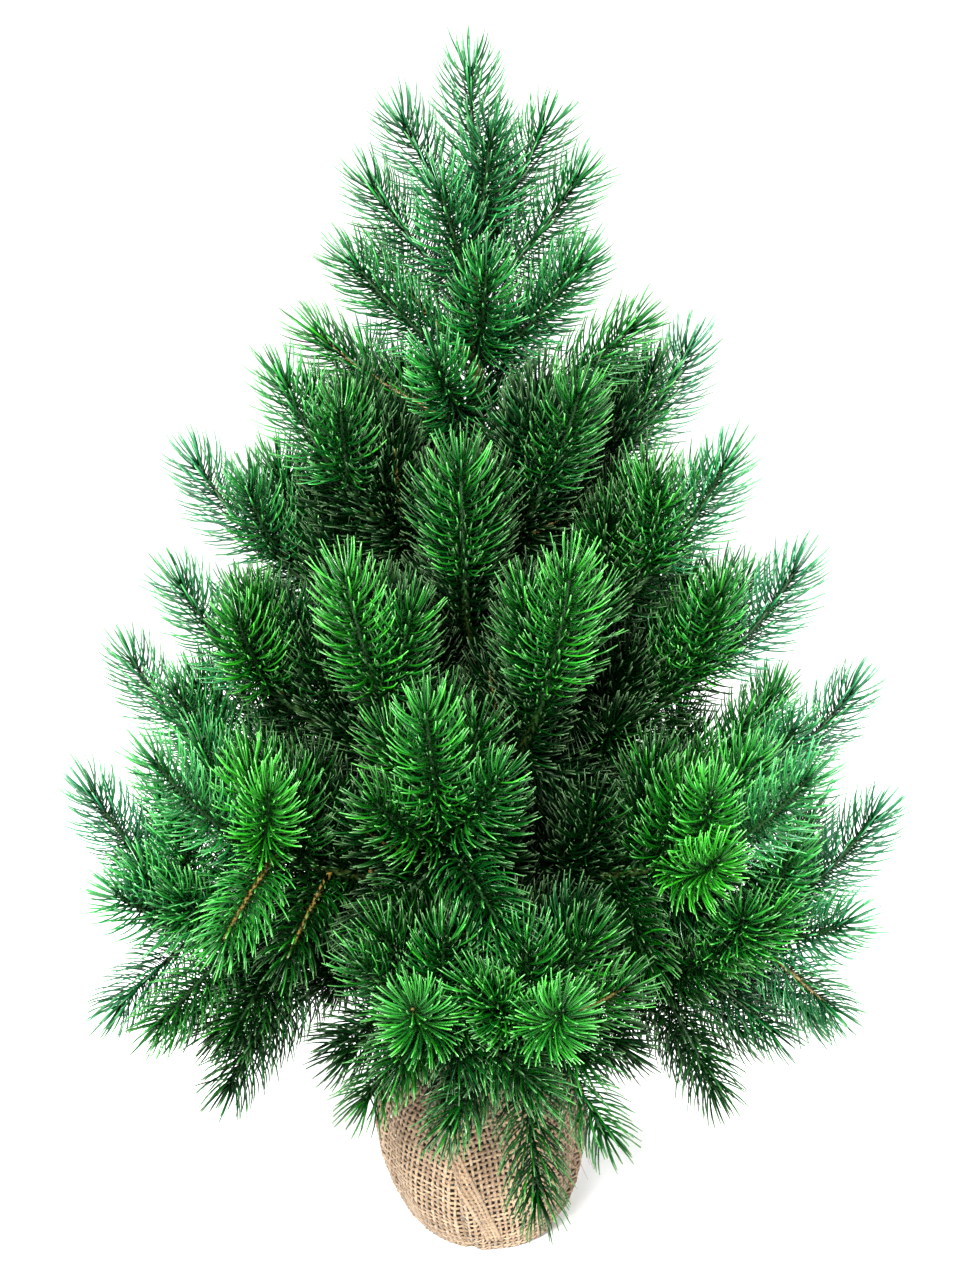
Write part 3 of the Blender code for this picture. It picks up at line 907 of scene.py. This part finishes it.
def make_trunk():
    """Tape wound up the trunk in overlapping turns."""
    shape = Shape()
    sides = 32
    heights = np.arange(WRAP_LOW, WRAP_TOP, 0.0009)
    angles = around_once(sides)
    turns = (heights[:, None] / TAPE_RISE - angles[None] / (2 * math.pi)) % 1.0
    wrap = np.array([wrap_radius(z) for z in heights])
    radii = wrap[:, None] - TAPE_STEP * turns + RNG.normal(0, TAPE_ROUGHNESS, turns.shape)
    points = np.zeros((len(heights), sides, 3))
    points[..., 0] = radii * np.cos(angles)
    points[..., 1] = radii * np.sin(angles)
    points[..., 2] = heights[:, None]
    tints = np.zeros(points.shape)
    # Painted shade: the last fifth of each turn, just below the step to the next one
    tints[..., 0] = np.clip((turns - 0.8) * 5, 0, 1)
    shape.add(points, tints)
    obj = shape.build("trunk_tape_wrap", [trunk_material()])
    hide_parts("trunk_wrap")
    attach(obj, "base")


# ----------------------------------------
# Burlap

# By height: (z, middle in x, half width, depth of the pleats)
BURLAP_RINGS = np.array([
    (0.000, 0.0065, 0.0315, 0.0),
    (0.003, 0.0065, 0.0350, 0.0003),
    (0.011, 0.0050, 0.0408, 0.0008),
    (0.024, 0.0033, 0.0465, 0.0012),
    (0.040, 0.0020, 0.0508, 0.0014),
    (0.058, 0.0015, 0.0535, 0.0016),
    (0.074, 0.0010, 0.0510, 0.0020),
    (0.086, 0.0005, 0.0420, 0.0024),
    (0.095, 0.0000, 0.0290, 0.0022),
    (0.100, 0.0000, 0.0180, 0.0014),
    (0.1045, 0.0000, 0.0128, 0.0010),
    (0.1146, 0.0000, 0.0128, 0.0010),
    (0.119, 0.0000, 0.0185, 0.0022),
    (0.124, 0.0000, 0.0255, 0.0032),
    (0.129, 0.0000, 0.0300, 0.0036),
])
# Yarns: pitch, half width, half thickness, and how far they go over and under each other
YARN_PITCH = 0.0030
YARN_HALF_WIDTH = 0.00092
YARN_HALF_THICK = 0.00042
YARN_WAVE = 0.00040
YARN_SIDES = 4
FEWEST_POINTS = 4
# The radius of the sack near the neck, below which its yarns are drawn together
GATHER_R = 0.030
# Panels of cloth between folds: (from, to, turn of the weave), degrees round the sack
PANELS = ((-102, -14, 12), (-14, 52, 24), (52, 124, 8), (124, 200, -30), (200, 258, -16))
PLEATS = 11
# The folds between panels, across them: where the dip and the ridge are, their widths and heights
DIP_AT, DIP_WIDTH, DIP_DEPTH = -0.0015, 0.0022, 0.0030
RIDGE_AT, RIDGE_WIDTH, RIDGE_HEIGHT = 0.0045, 0.0036, 0.0010
# The cloth's hemmed edge, from the neck down to the floor: (angle round the sack, share of the rise)
HEM = ((-118.0, 0.66), (-110.0, 0.50), (-101.0, 0.34), (-92.0, 0.20), (-84.0, 0.075))
HEM_WIDTH = 0.0065
# How far the hem's yarns stand off the cloth: those along it and those across it
HEM_LIFT = 0.0013
STITCH_LIFT = 0.0012
STITCH_POINTS = 8
# The underside of the sack: its radius, its middle in x, and the height of its yarns
UNDERSIDE_R = 0.034
UNDERSIDE_MIDDLE = 0.0045
UNDERSIDE_UP = 0.0006
# Loose fibres at the collar and at the two frayed folds
COLLAR_THREADS = 150
FOLD_THREADS = 16
FRAYED_FOLDS = (-14.0, -104.0)
COLLAR_THREAD_R = 0.00030
FOLD_THREAD_R = 0.00016


class Sack:
    """The shape of the draped burlap, as a function of the angle and the length up its side."""

    def __init__(self):
        steps = np.hypot(np.diff(BURLAP_RINGS[:, 0]), np.diff(BURLAP_RINGS[:, 2]))
        self.rise = np.concatenate([[0], np.cumsum(steps)])
        self.top = self.rise[-1]

    def row(self, up):
        """(z, middle, half width, pleat) at a length up the side."""
        return [np.interp(up, self.rise, BURLAP_RINGS[:, k]) for k in range(4)]

    def at(self, angle, up):
        """Points on the cloth, at angles in radians and lengths up the side."""
        z, middle, half, pleat = self.row(up)
        wave = np.cos(PLEATS * angle + 0.7) + 0.45 * np.sin((PLEATS - 4) * angle + 1.9)
        lump = 0.018 * np.cos(3 * angle + 0.6) * np.minimum(1.0, z / 0.02) * (half > 0.035)
        radius = half * (1 + lump) + pleat * wave * 0.69
        body = np.clip((half - 0.020) / 0.02, 0, 1)
        for start, _, _ in PANELS:
            off = (np.degrees(angle) - start + 180) % 360 - 180
            across = np.radians(off) * half
            dip = np.exp(-(((across - DIP_AT) / DIP_WIDTH) ** 2))
            ridge = np.exp(-(((across - RIDGE_AT) / RIDGE_WIDTH) ** 2))
            radius = radius + body * (-DIP_DEPTH * dip + RIDGE_HEIGHT * ridge)
        x = middle + radius * np.cos(angle)
        y = radius * np.sin(angle) * (0.97 + 0.24 * np.maximum(0.0, 1.0 - z / 0.060))
        return np.stack([x, y, z], axis=-1)

    def out(self, angle, up):
        """Outward normals by small differences."""
        a = self.at(angle + 0.01, up) - self.at(angle - 0.01, up)
        b = self.at(angle, up + 0.0006) - self.at(angle, up - 0.0006)
        return unit(np.cross(a, b))


def add_yarn(shape, points, normals, phase, shade, width=1.0):
    """One yarn along points on the cloth: it goes over and under its neighbours."""
    count = len(points)
    if count < FEWEST_POINTS:
        return
    weave = np.cos(math.pi * phase)
    lifted = points + normals * (YARN_WAVE * weave)[:, None]
    along = unit(np.gradient(lifted, axis=0))
    across = unit(np.cross(normals, along))
    angles = around_once(YARN_SIDES) + 0.3
    slub = 1 + 0.10 * np.sin(np.arange(count) * RNG.uniform(0.15, 0.5) + RNG.uniform(0, 6))
    slub = slub * RNG.uniform(0.94, 1.06, count) * width
    ring = (
        np.cos(angles)[None, :, None] * across[:, None] * YARN_HALF_WIDTH
        + np.sin(angles)[None, :, None] * normals[:, None] * YARN_HALF_THICK
    )
    body = lifted[:, None] + ring * slub[:, None, None]
    tints = np.zeros(body.shape)
    tints[..., 0] = np.clip(shade + RNG.normal(0, 0.05, (count, 1)), 0, 1)
    # Painted shade where the yarn dips under its neighbours
    tints[..., 2] = np.clip(-weave, 0, 1)[:, None] * 0.35
    shape.add(body, tints)


def panel_yarns(shape, sack, start, stop, turn):
    """Both sets of yarns of one panel of cloth."""
    centre = math.radians((start + stop) / 2)
    half = math.radians((stop - start) / 2) + 0.02
    turn = math.radians(turn)
    middle_up = 0.060
    for family in (0, 1):
        direction = turn + family * math.pi / 2
        dx, dy = math.cos(direction), math.sin(direction)
        for k in range(-60, 61):
            offset = k * YARN_PITCH + RNG.normal(0, 0.00016)
            run = np.arange(-0.13, 0.13, YARN_PITCH / 2)
            s = run * dx - offset * dy
            up = middle_up + run * dy + offset * dx
            # The gathers near the neck draw the yarns together
            _, _, width, _ = sack.row(np.clip(up, 0, sack.top))
            angle = s / np.maximum(width, GATHER_R)
            inside = (np.abs(angle) <= half) & (up >= 0.0) & (up <= sack.top)
            edges = np.flatnonzero(np.diff(np.concatenate([[0], inside.astype(int), [0]])))
            for first, last in zip(edges[::2], edges[1::2]):
                if last - first < FEWEST_POINTS:
                    continue
                a = centre + angle[first:last]
                u = up[first:last]
                phase = run[first:last] / YARN_PITCH + k + family
                shade = RNG.uniform(0.25, 0.80)
                add_yarn(shape, sack.at(a, u), sack.out(a, u), phase, shade)


def hem_yarns(shape, sack):
    """The folded hem that crosses the front of the sack: close yarns along it and across it."""
    steps = 120
    w = np.linspace(0, 1, steps)
    knots = np.linspace(0, 1, len(HEM))
    angle = np.radians(np.interp(w, knots, [a for a, _ in HEM]))
    up = np.interp(w, knots, [share for _, share in HEM]) * sack.top
    lines = 4
    for k in range(lines):
        across = (k / (lines - 1) - 0.5) * HEM_WIDTH
        _, _, half, _ = sack.row(up)
        a = angle + across / np.maximum(half, GATHER_R)
        normals = sack.out(a, up)
        raised = sack.at(a, up) + normals * HEM_LIFT
        width = 1.3 if k in (0, lines - 1) else 0.9
        phase = np.arange(steps) * 0.7 + k
        add_yarn(shape, raised, normals, phase, RNG.uniform(0.45, 0.75), width)
    for i in range(1, steps, 3):
        _, _, half, _ = sack.row(up[i])
        reach = np.linspace(-0.5, 0.5, STITCH_POINTS) * HEM_WIDTH / max(half, GATHER_R)
        a, u = angle[i] + reach, np.full(STITCH_POINTS, up[i])
        normals = sack.out(a, u)
        points = sack.at(a, u) + normals * STITCH_LIFT
        phase = np.arange(STITCH_POINTS) * 0.9 + i
        add_yarn(shape, points, normals, phase, RNG.uniform(0.3, 0.7), 0.75)


def underside_yarns(shape):
    """Both sets of yarns of the flat underside."""
    for family in (0, 1):
        for k in range(-12, 13):
            offset = k * YARN_PITCH
            reach = math.sqrt(max(0.0, UNDERSIDE_R**2 - offset**2))
            run = np.arange(-reach, reach, YARN_PITCH / 2)
            points = np.zeros((len(run), 3))
            points[:, family] = run
            points[:, 1 - family] = offset
            points[:, 0] += UNDERSIDE_MIDDLE
            points[:, 2] = UNDERSIDE_UP
            normals = np.tile(-UP, (len(run), 1))
            add_yarn(shape, points, normals, run / YARN_PITCH + k + family, RNG.uniform(0.3, 0.7))


def collar_threads(shape, sack):
    """The frayed edge of the collar."""
    top = np.array([sack.top])
    w = np.linspace(0, 1, 6)[:, None]
    for _ in range(COLLAR_THREADS):
        a = RNG.uniform(0, 2 * math.pi)
        foot = sack.at(np.array([a]), top)[0]
        out = sack.out(np.array([a]), top - 0.001)[0]
        rise = unit(np.array([math.cos(a) * 0.6, math.sin(a) * 0.6, 1.0]) + RNG.normal(0, 0.3, 3))
        length = RNG.uniform(0.003, 0.009)
        path = foot - rise * 0.002 + rise * length * w + out * RNG.normal(0, 0.002) * w**2
        add_thread(shape, path, COLLAR_THREAD_R)


def fold_threads(shape, sack, start):
    """Fibres that hang loose along a fold."""
    w = np.linspace(0, 1, 8)[:, None]
    for _ in range(FOLD_THREADS):
        a = np.array([np.radians(start + RNG.normal(0, 2.0))])
        up = np.array([RNG.uniform(0.050, 0.115)])
        foot, out = sack.at(a, up)[0], sack.out(a, up)[0]
        drop = unit(out * 0.35 - UP + RNG.normal(0, 0.22, 3))
        length = RNG.uniform(0.006, 0.020)
        path = foot + out * 0.0008 + drop * length * w + out * 0.004 * w**2
        add_thread(shape, path, FOLD_THREAD_R)


def add_thread(shape, path, radius):
    """A loose fibre, thinner at its end."""
    rings = sweep(path, np.linspace(radius, radius * 0.5, len(path)), YARN_SIDES)
    shape.add(rings, (RNG.uniform(0.3, 0.9), 0.0, 0.0))


def make_burlap():
    """The woven wrap, as real yarns."""
    sack = Sack()
    dark, mid, light = (0.11, 0.066, 0.034), (0.235, 0.158, 0.092), (0.37, 0.270, 0.172)
    jute = jute_material("burlap_yarn", dark, mid, light)
    shape = Shape()
    for start, stop, turn in PANELS:
        panel_yarns(shape, sack, start, stop, turn)
    hem_yarns(shape, sack)
    underside_yarns(shape)
    weave = shape.build("burlap_weave", [jute])
    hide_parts("burlap_wrap")
    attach(weave, "base")

    edge = Shape()
    collar_threads(edge, sack)
    for start in FRAYED_FOLDS:
        fold_threads(edge, sack, start)
    fringe = edge.build("burlap_fringe", [jute])
    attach(fringe, "base")


# Twine: turns round the neck, points in a turn and in a twist, a strand's radius and its offset
TIE_TURNS = 3
TIE_STEPS = 96
TWIST_STEPS = 9.0
STRAND_R = 0.00062
STRAND_OFFSET = 0.00055
STRAND_SIDES = 6
# The neck's radius, the cloth over it and half the twine; the first turn's height, and the climb
TIE_R = 0.0128 + 0.0018 + 0.0011
TIE_LOW = 0.1062
TIE_RISE = 0.0024


def make_tie():
    """Twine of two strands, wound three times round the neck."""
    jute = jute_material("tie_jute", (0.12, 0.065, 0.026), (0.34, 0.21, 0.105), (0.52, 0.36, 0.20))
    shape = Shape()
    for strand in (0, 1):
        i = np.arange(TIE_TURNS * TIE_STEPS + 1)
        a = i * 2 * math.pi / TIE_STEPS
        twist = i * 2 * math.pi / TWIST_STEPS + strand * math.pi
        radius = TIE_R + STRAND_OFFSET * np.cos(twist)
        z = TIE_LOW + TIE_RISE * i / TIE_STEPS + STRAND_OFFSET * np.sin(twist)
        points = np.stack([radius * np.cos(a), 0.97 * radius * np.sin(a), z], axis=-1)
        rings = sweep(points, np.full(len(points), STRAND_R), STRAND_SIDES)
        shape.add(rings, (0.45 + 0.1 * strand, 0.0, 0.0))
    obj = shape.build("neck_twine", [jute])
    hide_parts("neck_tie")
    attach(obj, "base")


def paint_nodes():
    """Better materials for the CAD nodes that stay."""
    wire = wire_material()
    pole = plain_material("pole_paint", (0.02, 0.02, 0.02), (0.04, 0.04, 0.04), 300.0, 0.45, 0.2, 0.6)
    liner = plain_material("liner_plastic", (0.045, 0.028, 0.015), (0.080, 0.050, 0.028), 60.0, 0.6)
    cast = plain_material("cast_weight", (0.36, 0.34, 0.31), (0.55, 0.53, 0.49), 90.0, 0.9, 0.6)
    by_name = {"trunk_pole": pole, "pot_liner": liner, "ballast_block": cast}
    for name, node in NODES.items():
        new = wire if name.startswith("branch_wire") else by_name.get(name)
        if new:
            for slot in node.material_slots:
                slot.material = new


# ----------------------------------------
# Stage

# The floor's profile: flat from the front to the back, then a quarter turn into the back wall
FLOOR_HALF_WIDTH = 4.0
FLOOR_FRONT = -3.0
FLOOR_BACK = 1.6
SWEEP_R = 0.9
SWEEP_STEPS = 12
WALL_TOP = 4.0
WORLD_STRENGTH = 0.20
# Lights: (name, place, size, power), all aimed at one height on the trunk
LIGHTS = (
    ("key", (-0.35, -1.8, 1.15), 0.40, 124.0),
    ("fill", (1.2, -1.4, 0.7), 0.6, 24.0),
    ("top", (0.1, 0.1, 1.8), 1.0, 40.0),
    ("rim", (0.5, 1.2, 1.1), 1.2, 12.0),
)
LIGHT_AIM = Vector((0, 0, 0.28))
CAMERA_AIM = Vector((0.002, 0.0, 0.310))
CAMERA_ELEVATION = math.radians(12.0)
CAMERA_DISTANCE = 1.245
CAMERA_LENS = 70.0
CAMERA_SENSOR = 36.0


def make_stage():
    """A white sweep, soft lights and the camera."""
    scene = bpy.context.scene
    paint = Paint("floor_white")
    paint.set(Base_Color=(0.86, 0.86, 0.855, 1.0), Roughness=0.6)
    mesh = bpy.data.meshes.new("floor")
    profile = [(FLOOR_FRONT, 0.0), (FLOOR_BACK, 0.0)]
    for i in range(1, SWEEP_STEPS + 1):
        a = i * math.pi / (2 * SWEEP_STEPS)
        profile.append((FLOOR_BACK + SWEEP_R * math.sin(a), SWEEP_R * (1 - math.cos(a))))
    profile.append((FLOOR_BACK + SWEEP_R, WALL_TOP))
    verts = [(x, y, z) for y, z in profile for x in (-FLOOR_HALF_WIDTH, FLOOR_HALF_WIDTH)]
    faces = [(2 * i, 2 * i + 1, 2 * i + 3, 2 * i + 2) for i in range(len(profile) - 1)]
    mesh.from_pydata(verts, [], faces)
    mesh.polygons.foreach_set("use_smooth", [True] * len(faces))
    mesh.materials.append(paint.material)
    floor = bpy.data.objects.new("floor", mesh)
    scene.collection.objects.link(floor)

    world = bpy.data.worlds.new("studio")
    world.use_nodes = True
    background = world.node_tree.nodes["Background"]
    background.inputs["Color"].default_value = (1.0, 1.0, 1.0, 1.0)
    background.inputs["Strength"].default_value = WORLD_STRENGTH
    scene.world = world

    for name, place, size, power in LIGHTS:
        data = bpy.data.lights.new(name, "AREA")
        data.shape = "SQUARE"
        data.size = size
        data.energy = power
        light = bpy.data.objects.new(name, data)
        light.location = place
        light.rotation_euler = (LIGHT_AIM - Vector(place)).to_track_quat("-Z", "Y").to_euler()
        scene.collection.objects.link(light)

    data = bpy.data.cameras.new("camera")
    data.lens = CAMERA_LENS
    data.sensor_width = CAMERA_SENSOR
    camera = bpy.data.objects.new("camera", data)
    back = Vector((0.0, -math.cos(CAMERA_ELEVATION), math.sin(CAMERA_ELEVATION)))
    camera.location = CAMERA_AIM + back * CAMERA_DISTANCE
    camera.rotation_euler = (-back).to_track_quat("-Z", "Y").to_euler()
    scene.collection.objects.link(camera)
    scene.camera = camera
    scene.view_settings.view_transform = "Standard"
    scene.view_settings.look = "Medium High Contrast"


make_stage()
paint_nodes()
make_trunk()
make_foliage()
make_burlap()
make_tie()
